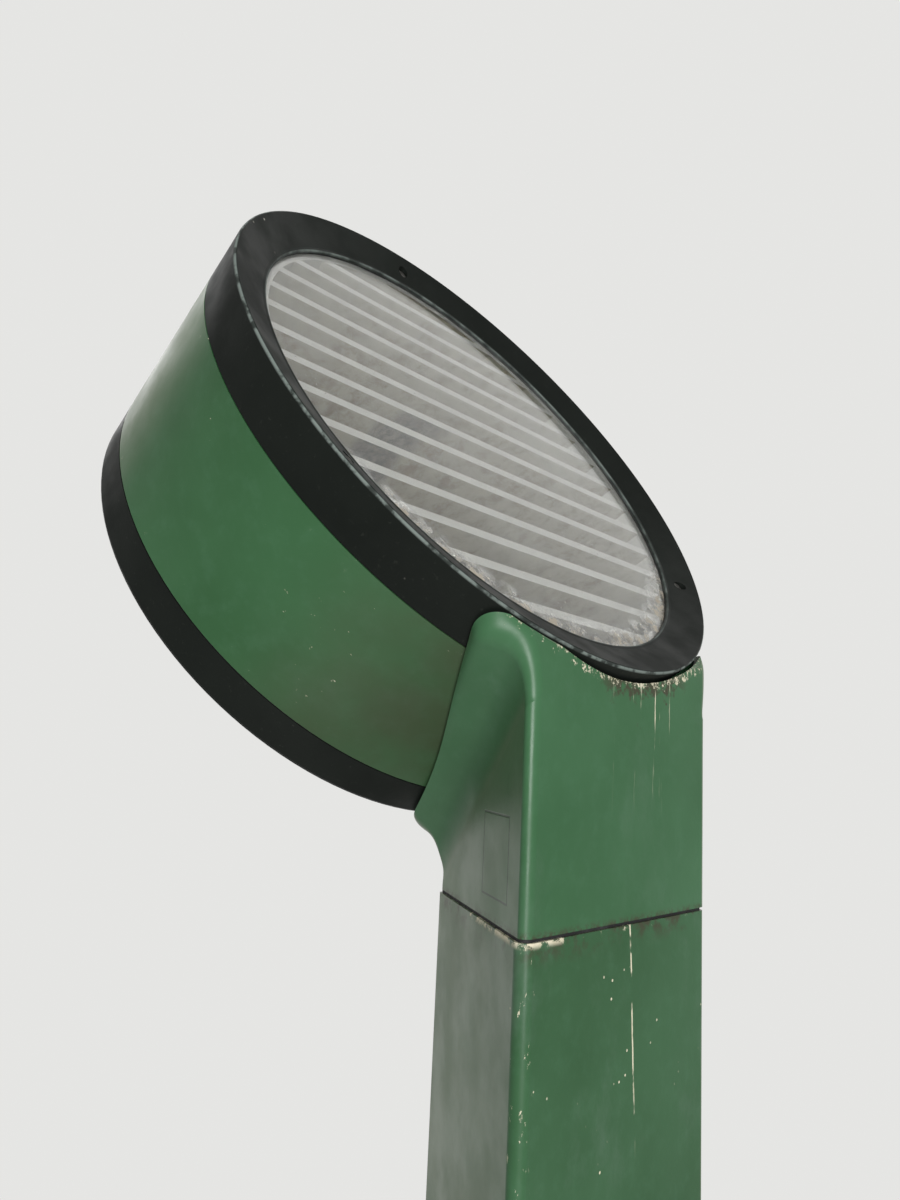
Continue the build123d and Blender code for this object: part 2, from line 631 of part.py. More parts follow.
def front_bezel():
    ring = turned([
        (DRUM_R - 1.6, 0),
        (DRUM_R - 0.4, 0.5),
        (DRUM_R, 1.8),
        (drum_radius(BEZEL_DEPTH), BEZEL_DEPTH),
        (BEZEL_BORE_R, BEZEL_DEPTH),
        (BEZEL_BORE_R, 6.0),
        (188.5, 12.0),
        (APERTURE_R, 12.0),
        (APERTURE_R, APERTURE_DEPTH),
        (APERTURE_R + 0.8, APERTURE_DEPTH - 0.9),
        (APERTURE_R + 3.0, APERTURE_DEPTH - 1.1),
    ])
    for angle in CLIP_ANGLES:
        ring += on_drum(bar(4.6, 0, 11), CLIP_CIRCLE_R, angle, CLIP_DEPTH)
        ring -= on_drum(bar(1.55, -1, 8), CLIP_CIRCLE_R, angle, CLIP_DEPTH)
    for angle in BEZEL_SCREW_ANGLES.values():
        ring += on_drum(bar(SCREW_BOSS_R, 0, 6), SCREW_CIRCLE_R, angle, 15)
        ring -= on_drum(bar(4.6, 0, 20), SCREW_CIRCLE_R, angle, 11)
        ring -= on_drum(bar(2.58, -10, 20), SCREW_CIRCLE_R, angle, 11)
    return ring


def bezel_screw(angle):
    return on_drum(screw(2.5, 20, 4.2, 3.2), SCREW_CIRCLE_R, angle, 10.7)


def bezel_gasket():
    ring = turned([(199.8, 8.2), (203.2, 7.2), (203.2, 11.2), (199.8, 11.2)])
    for angle in BEZEL_SCREW_ANGLES.values():
        ring -= on_drum(bar(SCREW_BOSS_R + 0.2, -10, 10), SCREW_CIRCLE_R, angle, 11)
    return ring


def lens_gasket():
    inside = APERTURE_R + 0.3
    return turned([(inside, 12.05), (LENS_R, 12.05), (LENS_R, 13.2), (inside, 13.2)])


def lens_glass():
    return DRUM * bar(LENS_R, -LENS_FRONT - LENS_THICKNESS, -LENS_FRONT)


def louvre():
    """White grid behind the glass: level blades, thicker at the front, inside a flanged ring."""
    ring = turned([
        (LOUVRE_BORE_R, LOUVRE_FRONT),
        (LENS_R - 0.5, LOUVRE_FRONT),
        (LENS_R - 0.5, LOUVRE_FRONT + 1.2),
        (LOUVRE_BORE_R + 1.6, LOUVRE_FRONT + 1.2),
        (LOUVRE_BORE_R + 1.6, LOUVRE_REAR),
        (LOUVRE_BORE_R, LOUVRE_REAR),
    ])
    front, rear = -LOUVRE_FRONT - 0.2, -LOUVRE_REAR
    profile = make_face(Polyline((-BLADE_FRONT / 2, front), (BLADE_FRONT / 2, front),
                                 (BLADE_REAR / 2, rear), (-BLADE_REAR / 2, rear), close=True))
    blade = extrude(Plane.YZ * profile, LOUVRE_BORE_R + 5, both=True)
    bore = bar(LOUVRE_BORE_R + 0.8, rear, front)
    for i in range(-6, 7):
        ring += DRUM * Rot(0, 0, -BEZEL_TURN) * ((Pos(0, BLADE_SHIFT + i * BLADE_PITCH, 0) * blade) & bore)
    return ring


def clip_screws():
    flipped = Rot(180, 0, 0) * screw(1.5, 7, 2.8, 1.6)
    return [on_drum(flipped, CLIP_CIRCLE_R, angle, CLIP_DEPTH + 1.6) for angle in CLIP_ANGLES]


def lens_clips():
    """Spring tabs that press the glass into the bezel."""
    clip = Pos(0, -4.5, 0) * Box(10, 19, 1.4, align=BOTTOM) - bar(1.6, -1, 3)
    return [on_drum(clip, CLIP_CIRCLE_R, angle, CLIP_DEPTH + 1.5) for angle in CLIP_ANGLES]


def reflector():
    wall = 1.2
    rim = (REFLECTOR_RIM_R, -REFLECTOR_RIM_DEPTH)
    hole = (REFLECTOR_HOLE_R, -REFLECTOR_HOLE_DEPTH)
    middle = (110.0, -86.0)
    bowl = ThreePointArc(rim, middle, hole)
    back = ThreePointArc((hole[0], hole[1] - wall), (middle[0], middle[1] - wall), (rim[0], rim[1] - wall))
    edge = Polyline((rim[0], rim[1] - wall), (184.5, rim[1] - wall), (184.5, rim[1]), rim)
    outline = bowl + Line(hole, (hole[0], hole[1] - wall)) + back + edge
    dish = DRUM * revolve(Plane.XZ * make_face(outline), Axis.Z)
    for angle in REFLECTOR_SCREW_ANGLES:
        dish -= on_drum(bar(1.6, -5, 5), REFLECTOR_SCREW_R, angle, REFLECTOR_RIM_DEPTH)
    return dish


def reflector_screws():
    fixing = screw(1.5, 4.6, 2.8, 1.6)
    seat = REFLECTOR_RIM_DEPTH - 0.1
    return [on_drum(fixing, REFLECTOR_SCREW_R, angle, seat) for angle in REFLECTOR_SCREW_ANGLES]


def lamp_bulb():
    """A single-ended discharge lamp with a two-pin base."""
    glass = bar(10.5, -94, -62) + Pos(0, 0, -62) * Sphere(10.5)
    base = bar(11.8, -104, -93.9)
    pins = Pos(6, 0, 0) * bar(1.2, -112, -103.9) + Pos(-6, 0, 0) * bar(1.2, -112, -103.9)
    return DRUM * (glass + base + pins)


def lamp_holder():
    block = Pos(0, 0, -130) * Box(36, 30, 25.8, align=BOTTOM)
    block = fillet(block.edges().filter_by(Axis.Z), 4)
    for x in (-6, 6):
        block -= Pos(x, 0, 0) * bar(1.3, -113, -100)
    return DRUM * block


def holder_bracket():
    bridge = Pos(0, 0, -132.1) * Box(70, 24, 2, align=BOTTOM)
    for x in (-34, 34):
        bridge += Pos(x, 0, -TRAY_DEPTH + 0.1) * Box(2, 24, 8.0, align=BOTTOM)
        bridge += Pos(x * 1.2, 0, -TRAY_DEPTH + 0.1) * Box(16, 24, 1.6, align=BOTTOM)
    return DRUM * bridge


# --- Control gear on its tray ---------------------------------------------------------------
def gear_tray():
    tray = DRUM * bar(TRAY_R, -TRAY_DEPTH - 2, -TRAY_DEPTH)
    for angle in TRAY_SCREW_ANGLES:
        tray -= on_drum(bar(2.2, -5, 5), TRAY_SCREW_R, angle, TRAY_DEPTH)
    for angle in COVER_SCREW_ANGLES:
        tray -= on_drum(bar(6.0, -5, 5), COVER_SCREW_R, angle, TRAY_DEPTH)
    return tray


def tray_screws():
    fixing = screw(2.0, 5.5, 3.6, 2.4)
    return [on_drum(fixing, TRAY_SCREW_R, angle, TRAY_DEPTH - 0.1) for angle in TRAY_SCREW_ANGLES]


def on_tray(shape, x, y):
    return DRUM * (Pos(x, y, -TRAY_DEPTH + 0.1) * shape)


def ballast():
    """Laminated iron core with its winding standing out at both ends."""
    core = Box(52, 84, 44, align=BOTTOM)
    winding = Pos(0, 0, 6) * fillet(Box(34, 104, 32, align=BOTTOM).edges().filter_by(Axis.Y), 5)
    foot = Box(64, 20, 2, align=BOTTOM)
    return on_tray(core + winding + foot, -150, 0)


def ignitor():
    can = fillet(Box(34, 70, 28, align=BOTTOM).edges().filter_by(Axis.Z), 5)
    return on_tray(can, 156, 38)


def capacitor():
    can = Pos(0, 0, 16) * (Rot(90, 0, 0) * Cylinder(15.5, 74))
    cradle = Box(22, 50, 4, align=BOTTOM)
    return on_tray(can + cradle, 156, -48)


def gear_terminal_block():
    block = Box(56, 22, 18, align=BOTTOM)
    for x in (-20, 0, 20):
        block -= Pos(x, 5, 12) * bar(2.4, 0, 8)
        block -= Pos(x, -5, 12) * bar(2.4, 0, 8)
    return on_tray(block, 0, -165)


# --- Rear cover -----------------------------------------------------------------------------
def rear_gasket():
    return turned([(201.2, 148.1), (203.4, 148.1), (203.4, 148.9), (201.2, 148.9)])


def rear_cover():
    inner = drum_radius(COVER_FRONT) - 3.2
    cover = turned([
        (0, DRUM_DEPTH - 1.5),
        (150, DRUM_DEPTH - 1.5),
        (152, DRUM_DEPTH),
        (DRUM_REAR_R - 3, DRUM_DEPTH),
        (DRUM_REAR_R - 0.9, DRUM_DEPTH - 0.9),
        (DRUM_REAR_R, DRUM_DEPTH - 3),
        (drum_radius(COVER_FRONT), COVER_FRONT),
        (inner, COVER_FRONT),
        (inner - 0.8, 146.5),
        (inner - 3.6, 146.5),
        (inner - 3.6, DRUM_DEPTH - 4.6),
        (0, DRUM_DEPTH - 4.6),
    ])
    for angle in COVER_SCREW_ANGLES:
        cover += on_drum(bar(6.5, 0, 29), COVER_SCREW_R, angle, DRUM_DEPTH - 3.5)
        cover -= on_drum(bar(2.7, -5, 40), COVER_SCREW_R, angle, DRUM_DEPTH - 3.5)
        cover -= on_drum(bar(5.2, -5, 0.5), COVER_SCREW_R, angle, DRUM_DEPTH - 3.5)
    return cover


def rear_cover_screws():
    flipped = Rot(180, 0, 0) * screw(2.5, 35, 4.6, 2.8)
    return [on_drum(flipped, COVER_SCREW_R, angle, DRUM_DEPTH - 3.9) for angle in COVER_SCREW_ANGLES]


# --- Internal cable -------------------------------------------------------------------------
def drum_point(depth, below):
    return DRUM_CENTRE - FORWARD * depth - UPWARD * below


def supply_cable():
    """Runs from the terminal box up the post, bends into the drum's gland and turns to the terminals."""
    corner_back = DRUM_CENTRE.Y + GLAND_DEPTH * cos(radians(TILT)) - CABLE_Y
    corner_below = corner_back / sin(radians(TILT))
    entry = drum_point(GLAND_DEPTH, corner_below)
    start = Vector(0, entry.Y, DOOR_Z + 62)
    inside = drum_point(GLAND_DEPTH, 165)
    end = drum_point(120.5, 165)
    route = FilletPolyline(start, entry, inside, end, radius=[60, 20])
    section = Plane(origin=start, z_dir=(0, 0, 1)) * Circle(CABLE_R)
    return sweep(section, path=route)


# --- Write every piece ----------------------------------------------------------------------
parts["base_plate"] = base_plate()
parts["base_spigot"] = base_spigot()
parts["base_screws"] = base_screws()
parts["post_shell"] = post_shell()
parts["earth_stud"] = earth_stud()
parts["access_door"] = access_door()
parts["door_gasket"] = door_gasket()
parts["hinge_leaf"] = hinge_leaf()
parts["hinge_pin"] = hinge_pin()
parts["hinge_screws"] = hinge_screws()
parts["lock_barrel"] = lock_barrel()
parts["lock_cam"] = lock_cam()
parts["lock_screw"] = lock_screw()
parts["terminal_rail"] = terminal_rail()
parts["rail_screws"] = rail_screws()
parts["terminal_box"] = terminal_box()
parts["terminal_box_lid"] = terminal_box_lid()
parts["terminal_strip"] = terminal_strip()
parts["box_screws"] = box_screws()
parts["box_glands"] = box_glands()
parts["post_sleeve"] = post_sleeve()
parts["sleeve_screws"] = sleeve_screws()
parts["seam_gasket"] = seam_gasket()
parts["neck_bolts"] = neck_bolts()
parts["neck_shell"] = neck_shell()
parts["saddle_bracket"] = saddle_bracket()
parts["saddle_pad"] = saddle_pad()
parts["drum_bolts"] = drum_bolts()
parts["drum_gland"] = drum_gland()
parts["supply_cable"] = supply_cable()
parts["drum_housing"] = drum_housing()
parts["rear_gasket"] = rear_gasket()
parts["rear_cover"] = rear_cover()
parts["rear_cover_screws"] = rear_cover_screws()
parts["front_bezel"] = front_bezel()
parts["bezel_gasket"] = bezel_gasket()
parts["lens_gasket"] = lens_gasket()
parts["lens_glass"] = lens_glass()
parts["louvre"] = louvre()
parts["lens_clips"] = lens_clips()
parts["clip_screws"] = clip_screws()
for side, angle in BEZEL_SCREW_ANGLES.items():
    parts["bezel_screw_" + side] = bezel_screw(angle)
parts["reflector"] = reflector()
parts["reflector_screws"] = reflector_screws()
parts["lamp_bulb"] = lamp_bulb()
parts["lamp_holder"] = lamp_holder()
parts["holder_bracket"] = holder_bracket()
parts["gear_tray"] = gear_tray()
parts["tray_screws"] = tray_screws()
parts["ballast"] = ballast()
parts["ignitor"] = ignitor()
parts["capacitor"] = capacitor()
parts["gear_terminal_block"] = gear_terminal_block()

os.makedirs("parts", exist_ok=True)
for node, shape in parts.items():
    solid = Compound(children=shape) if isinstance(shape, list) else shape
    export_step(solid, "parts/" + node + ".step")
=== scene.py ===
import json
import math

import bmesh
import bpy
from mathutils import Matrix, Vector


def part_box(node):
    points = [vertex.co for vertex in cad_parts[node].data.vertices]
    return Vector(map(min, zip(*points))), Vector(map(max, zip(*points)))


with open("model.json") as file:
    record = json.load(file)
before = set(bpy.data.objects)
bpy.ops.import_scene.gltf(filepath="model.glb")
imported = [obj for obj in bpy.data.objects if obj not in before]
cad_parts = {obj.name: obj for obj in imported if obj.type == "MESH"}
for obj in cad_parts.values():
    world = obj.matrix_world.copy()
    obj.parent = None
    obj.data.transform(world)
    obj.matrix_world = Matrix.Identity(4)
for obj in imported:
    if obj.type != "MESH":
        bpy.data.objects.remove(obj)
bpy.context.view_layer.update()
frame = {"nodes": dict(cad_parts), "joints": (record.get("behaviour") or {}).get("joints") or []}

nodes = frame["nodes"]
scene = bpy.context.scene

# --- Where things are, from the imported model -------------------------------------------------
joints = {joint["name"]: joint for joint in frame["joints"]}
screw_spots = [Vector(joint["pos_m"]) for name, joint in joints.items() if name.startswith("bezel_screw")]
SCREW_SEAT_DEPTH = 0.0107
BEZEL_TURN = math.radians(3.0)
FORWARD = Vector(joints["bezel_lift"]["axis"]).normalized()
ACROSS = Vector((1, 0, 0))
UPWARD = FORWARD.cross(ACROSS)
DRUM_FRONT = sum(screw_spots, Vector()) / len(screw_spots) + FORWARD * SCREW_SEAT_DEPTH

post_low, post_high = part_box("post_shell")
neck_low, neck_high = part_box("neck_shell")
FRONT_Y = neck_low.y
SEAM_Z = (post_high.z + neck_low.z) / 2
POST_WIDTH = 0.200      # between the sharp front corners, which are rounded off in the model
POST_DEPTH = 0.1465
SIDE_SLOPE = math.atan2(POST_WIDTH / 2, POST_DEPTH)


# --- Camera: the photograph's viewing angle --------------------------------------------------
CAMERA_PLACE = Vector((-0.4881, FRONT_Y - 0.2940, SEAM_Z + 0.0921))
CAMERA_YAW = 0.8349
CAMERA_PITCH = 0.1584
CAMERA_ROLL = 0.0466
CAMERA_LENS = 28.33


def make_camera():
    forward = Vector((
        math.sin(CAMERA_YAW) * math.cos(CAMERA_PITCH),
        math.cos(CAMERA_YAW) * math.cos(CAMERA_PITCH),
        math.sin(CAMERA_PITCH),
    ))
    level = Vector((math.cos(CAMERA_YAW), -math.sin(CAMERA_YAW), 0))
    lift = level.cross(forward)
    right = level * math.cos(CAMERA_ROLL) + lift * math.sin(CAMERA_ROLL)
    up = lift * math.cos(CAMERA_ROLL) - level * math.sin(CAMERA_ROLL)
    data = bpy.data.cameras.new("camera")
    data.lens = CAMERA_LENS
    data.sensor_width = 36
    data.clip_start = 0.01
    camera = bpy.data.objects.new("camera", data)
    turn = Matrix((right, up, -forward)).transposed().to_4x4()
    camera.matrix_world = Matrix.Translation(CAMERA_PLACE) @ turn
    scene.collection.objects.link(camera)
    scene.camera = camera


make_camera()


# --- Studio ---------------------------------------------------------------------------------
BACKDROP_DIRECTION = (0.731, 0.664, 0.158)
BACKDROP_FADE = (0.40, 0.74)
BACKDROP_COLOUR = (0.785, 0.785, 0.770, 1)
ROOM_LEVEL = 0.42
FLOOR_RADIUS = 1.7


def make_world():
    """A pale backdrop behind the object that darkens all round, as a room does beside a white wall."""
    world = bpy.data.worlds.new("studio")
    world.use_nodes = True
    tree = world.node_tree
    background = tree.nodes["Background"]
    where = tree.nodes.new("ShaderNodeTexCoord").outputs["Generated"]
    towards = tree.nodes.new("ShaderNodeVectorMath")
    towards.operation = "DOT_PRODUCT"
    towards.inputs[1].default_value = BACKDROP_DIRECTION
    tree.links.new(where, towards.inputs[0])
    fade = tree.nodes.new("ShaderNodeMapRange")
    fade.interpolation_type = "SMOOTHSTEP"
    for socket, value in zip(fade.inputs[1:5], (*BACKDROP_FADE, ROOM_LEVEL, 1.0)):
        socket.default_value = value
    tree.links.new(towards.outputs["Value"], fade.inputs[0])
    tree.links.new(fade.outputs[0], background.inputs["Strength"])
    background.inputs["Color"].default_value = BACKDROP_COLOUR
    scene.world = world
    scene.view_settings.view_transform = "Standard"


def make_light(name, place, target, size, power):
    data = bpy.data.lights.new(name, "AREA")
    data.shape = "DISK"
    data.size = size
    data.energy = power
    light = bpy.data.objects.new(name, data)
    light.location = place
    light.rotation_euler = (Vector(target) - Vector(place)).to_track_quat("-Z", "Y").to_euler()
    scene.collection.objects.link(light)


def make_floor():
    mesh = bpy.data.meshes.new("studio_floor")
    build = bmesh.new()
    bmesh.ops.create_circle(build, cap_ends=True, radius=FLOOR_RADIUS, segments=96)
    build.to_mesh(mesh)
    build.free()
    floor = bpy.data.objects.new("studio_floor", mesh)
    scene.collection.objects.link(floor)
    graph = Graph("floor_paper")
    grain = graph.noise(graph.place(), 3.0, 4, 0.6)
    graph.set("Base Color", graph.mix(grain, (0.70, 0.695, 0.68, 1), (0.74, 0.735, 0.72, 1)))
    graph.shader.inputs["Roughness"].default_value = 0.9
    floor.data.materials.append(graph.material)


# --- A small helper for procedural materials ------------------------------------------------
class Graph:
    """One material's nodes around a Principled shader. Sizes are in metres on the object."""

    def __init__(self, name):
        self.material = bpy.data.materials.new(name)
        self.material.use_nodes = True
        self.tree = self.material.node_tree
        self.shader = self.tree.nodes["Principled BSDF"]

    def fill(self, socket, value):
        if isinstance(value, bpy.types.NodeSocket):
            self.tree.links.new(value, socket)
        else:
            socket.default_value = value

    def set(self, name, value):
        self.fill(self.shader.inputs[name], value)

    def node(self, kind, *values, **settings):
        made = self.tree.nodes.new("ShaderNode" + kind)
        for key, setting in settings.items():
            setattr(made, key, setting)
        for socket, value in zip(made.inputs, values):
            if value is not None:
                self.fill(socket, value)
        return made

    def place(self):
        return self.node("TexCoord").outputs["Object"]

    def math(self, operation, a, b=0.0, clamp=False):
        return self.node("Math", a, b, operation=operation, use_clamp=clamp).outputs[0]

    def scaled(self, vector, factors):
        return self.node("VectorMath", vector, factors, operation="MULTIPLY").outputs[0]

    def along(self, vector, origin, direction):
        """Distance of a point from origin along a direction."""
        offset = self.node("VectorMath", vector, tuple(origin), operation="SUBTRACT").outputs[0]
        return self.node("VectorMath", offset, tuple(direction), operation="DOT_PRODUCT").outputs["Value"]

    def noise(self, vector, scale, detail=4.0, rough=0.55):
        return self.node("TexNoise", vector, None, scale, detail, rough).outputs[0]

    def spots(self, vector, scale):
        return self.node("TexVoronoi", vector, None, scale).outputs["Distance"]

    def step(self, value, low, high, start=0.0, end=1.0):
        """Smooth change from start to end while value goes from low to high."""
        made = self.node("MapRange", value, low, high, start, end, interpolation_type="SMOOTHSTEP")
        return made.outputs[0]

    def band(self, value, centre, half, soft):
        """1 within half of centre, 0 beyond half + soft."""
        away = self.math("ABSOLUTE", self.math("SUBTRACT", value, centre))
        return self.step(away, half, half + soft, 1.0, 0.0)

    def mix(self, factor, a, b):
        made = self.tree.nodes.new("ShaderNodeMix")
        made.data_type = "RGBA"
        self.fill(made.inputs[0], factor)
        self.fill(made.inputs[6], a)
        self.fill(made.inputs[7], b)
        return made.outputs[2]

    def both(self, a, b):
        return self.math("MULTIPLY", a, b)

    def either(self, a, b):
        return self.math("MAXIMUM", a, b)

    def bump(self, height, strength, distance):
        made = self.node("Bump", strength, distance)
        self.tree.links.new(height, made.inputs["Height"])
        self.set("Normal", made.outputs[0])

    def drum_place(self):
        """Across, upward and depth coordinates on the drum."""
        where = self.place()
        across = self.along(where, DRUM_FRONT, ACROSS)
        upward = self.along(where, DRUM_FRONT, UPWARD)
        depth = self.along(where, DRUM_FRONT, -FORWARD)
        return across, upward, depth

    def length(self, a, b):
        return self.math("SQRT", self.math("ADD", self.both(a, a), self.both(b, b)))


make_world()
make_light("key", (-2.0, -2.6, 1.9), (0, 0.1, 1.75), 1.8, 112)
make_light("back", (1.2, 2.6, 3.2), (0, 0.1, 1.7), 2.5, 20)
make_floor()


# --- Paints ---------------------------------------------------------------------------------
CREAM = (0.60, 0.54, 0.36, 1)
GRIME_AND_SHADE = (0.050, 0.040, 0.024, 1)
GRAZING_SHEEN = (0.205, 0.245, 0.160, 1)
POST_GREENS = (0.028, 0.088, 0.034, 1), (0.042, 0.118, 0.052, 1)
NECK_GREENS = (0.036, 0.112, 0.046, 1), (0.050, 0.142, 0.064, 1)
DRUM_GREENS = (0.030, 0.098, 0.036, 1), (0.044, 0.130, 0.054, 1)
PAINT_BUMP = (0.35, 0.0004)
RIM_HEIGHT = 0.1368     # of the neck's rim at its middle, above the seam
PANEL_ALONG = 0.0515    # centre of the engraved frame, back from the sharp front corner
PANEL_RISE = 0.0365     # and above the seam
PANEL_HALF_WIDTH = 0.0235
PANEL_HALF_HEIGHT = 0.0225


def green_paint(name, greens, marks, bloom_amount):
    """Aged green enamel: slow colour drift, fine grain, pale bloom, dark marks that are part dirt, part
    painted shade, and cream chips.

    Seen along the surface it takes a pale painted reflection, a sheen standing in for bright surroundings at
    grazing angles."""
    graph = Graph(name)
    where = graph.place()
    slow = graph.noise(where, 6.0, 3, 0.5)
    fine = graph.noise(where, 75.0, 6, 0.65)
    colour = graph.mix(graph.step(slow, 0.35, 0.65), *greens)
    colour = graph.mix(graph.step(fine, 0.45, 0.75, 0.0, 0.20), colour, (0.075, 0.18, 0.10, 1))
    bloom = graph.noise(graph.scaled(where, (1, 1, 0.6)), 13.0, 6, 0.7)
    bloom = graph.step(bloom, 0.5, 0.76, 0.0, bloom_amount)
    colour = graph.mix(bloom, colour, (0.13, 0.20, 0.15, 1))
    # Painted reflection: faces seen at a grazing angle are mixed in patches toward a pale grey-green sheen,
    # standing in for the bright surroundings.
    facing = graph.node("LayerWeight").outputs["Facing"]
    film = graph.step(graph.noise(where, 26.0, 5, 0.65), 0.3, 0.7, 0.75, 1.0)
    dust = graph.both(graph.step(facing, 0.55, 0.90, 0.0, 0.80), film)
    colour = graph.mix(dust, colour, GRAZING_SHEEN)
    specks = graph.step(graph.spots(where, 75.0), 0.040, 0.060, 1.0, 0.0)
    specks = graph.both(specks, graph.step(graph.noise(where, 14.0, 2, 0.5), 0.62, 0.68))
    chips, grime_and_shade = marks(graph, where)
    # The dark marks are dirt on the neck and post, and painted shade on the drum's lower side.
    colour = graph.mix(grime_and_shade, colour, GRIME_AND_SHADE)
    chips = graph.either(chips, specks)
    tone = graph.mix(graph.noise(where, 160.0, 3, 0.7), CREAM, (0.78, 0.74, 0.60, 1))
    colour = graph.mix(chips, colour, tone)
    graph.set("Base Color", colour)
    rough = graph.step(graph.noise(where, 22.0, 4, 0.6), 0.3, 0.7, 0.30, 0.44)
    graph.set("Roughness", graph.math("ADD", rough, graph.math("MULTIPLY", chips, 0.35), clamp=True))
    graph.shader.inputs["Specular IOR Level"].default_value = 0.30
    peel = graph.noise(where, 420.0, 2, 0.5)
    height = graph.math("SUBTRACT", graph.math("MULTIPLY", peel, 0.12), chips)
    return graph, where, height


def neck_marks(graph, where):
    """Chips and dark dirt along the neck's front rim, thinning downward in streaks."""
    x = graph.along(where, (0, 0, 0), (1, 0, 0))
    z = graph.along(where, (0, 0, SEAM_Z), (0, 0, 1))
    front = graph.band(graph.along(where, (0, FRONT_Y, 0), (0, 1, 0)), 0.0, 0.010, 0.008)
    rim = graph.math("ADD", graph.math("MULTIPLY", graph.both(x, x), 2.0), RIM_HEIGHT)
    below = graph.math("SUBTRACT", rim, z)
    near = graph.step(below, 0.000, 0.009, 0.25, 0.0)
    middle = graph.band(graph.math("SUBTRACT", x, 0.008), 0.0, 0.050, 0.045)
    ragged = graph.noise(where, 210.0, 6, 0.8)
    edge = graph.math("ADD", graph.math("ADD", ragged, near), graph.both(middle, 0.08))
    edge = graph.step(edge, 0.83, 0.90)
    streaks = graph.noise(graph.scaled(where, (230, 230, 11)), 1.0, 4, 0.65)
    runs = graph.both(graph.step(streaks, 0.63, 0.68), graph.step(below, 0.0, 0.085, 1.0, 0.0))
    runs = graph.both(runs, graph.band(graph.math("SUBTRACT", x, 0.018), 0.0, 0.016, 0.03))
    chips = graph.both(graph.either(edge, runs), front)
    settled = graph.step(below, 0.0, 0.022, 0.26, 0.0)
    soot = graph.step(graph.math("ADD", graph.noise(where, 120.0, 5, 0.75), settled), 0.66, 0.76)
    middle = graph.band(graph.math("SUBTRACT", x, 0.016), 0.0, 0.030, 0.03)
    soot = graph.both(graph.both(soot, front), middle)
    seam = graph.both(graph.step(z, 0.0055, 0.0008, 0.0, 0.75), graph.step(ragged, 0.42, 0.58))
    return chips, graph.either(graph.both(soot, 0.85), seam)


def post_marks(graph, where):
    """Chips down the front-left corner, a long scratch and worn paint along the top edge."""
    x = graph.along(where, (0, 0, 0), (1, 0, 0))
    z = graph.along(where, (0, 0, SEAM_Z), (0, 0, 1))
    front = graph.band(graph.along(where, (0, FRONT_Y, 0), (0, 1, 0)), 0.0, 0.006, 0.004)
    ragged = graph.noise(graph.scaled(where, (1, 1, 0.45)), 170.0, 5, 0.72)
    corner = graph.both(graph.step(x, -0.085, -0.0935), graph.step(ragged, 0.60, 0.65))
    line = graph.math("ADD", x, graph.math("MULTIPLY", z, 0.07))
    line = graph.math("ADD", line, graph.math("MULTIPLY", graph.noise(where, 16.0, 2), 0.003))
    line = graph.band(graph.math("SUBTRACT", line, 0.0040), 0.0, 0.0004, 0.0005)
    broken = graph.step(graph.noise(graph.scaled(where, (1, 1, 0.6)), 55.0, 4, 0.7), 0.40, 0.50)
    scratch = graph.both(graph.both(line, broken), graph.step(z, -0.13, -0.07))
    specks = graph.both(graph.step(graph.spots(where, 150.0), 0.09, 0.14, 1.0, 0.0),
                        graph.step(graph.noise(where, 24.0, 3), 0.58, 0.64))
    edge = graph.step(z, -0.0050, -0.0014)
    left = graph.step(x, -0.030, -0.075, 0.10, 0.26)
    worn = graph.math("ADD", graph.noise(where, 95.0, 5, 0.72), left)
    worn = graph.both(edge, graph.step(worn, 0.70, 0.78))
    front_marks = graph.either(graph.either(corner, scratch), specks)
    dirt = graph.step(graph.noise(where, 70.0, 5, 0.7), 0.46, 0.62)
    dirt = graph.both(graph.step(z, -0.016, -0.001, 0.0, 0.8), dirt)
    return graph.either(graph.both(front_marks, front), worn), dirt


def drum_marks(graph, where):
    """Fine pale scuffs near the front and rear edges of the green band, and painted shade on its lower side.
    """
    across, upward, depth = graph.drum_place()
    edges = graph.either(graph.step(depth, 0.052, 0.038), graph.step(depth, 0.128, 0.149))
    scuffs = graph.noise(where, 150.0, 5, 0.8)
    worn = graph.both(graph.step(scuffs, 0.66, 0.71), graph.step(edges, 0.1, 1.0, 0.0, 0.6))
    lines = graph.noise(graph.scaled(where, (40, 300, 300)), 1.0, 3, 0.6)
    patches = graph.step(graph.noise(where, 12.0, 2), 0.55, 0.62, 0.0, 0.5)
    lines = graph.both(graph.step(lines, 0.70, 0.73), patches)
    # Painted shade: the lower side of the drum is darkened in mottled patches.
    low = graph.step(upward, -0.10, -0.19, 0.0, 0.55)
    grime_and_shade = graph.both(low, graph.step(graph.noise(where, 9.0, 4, 0.6), 0.35, 0.65, 0.4, 1.0))
    return graph.either(worn, lines), grime_and_shade


def plain_paint(name, greens, marks, bloom_amount):
    graph, where, height = green_paint(name, greens, marks, bloom_amount)
    graph.bump(height, *PAINT_BUMP)
    return graph.material


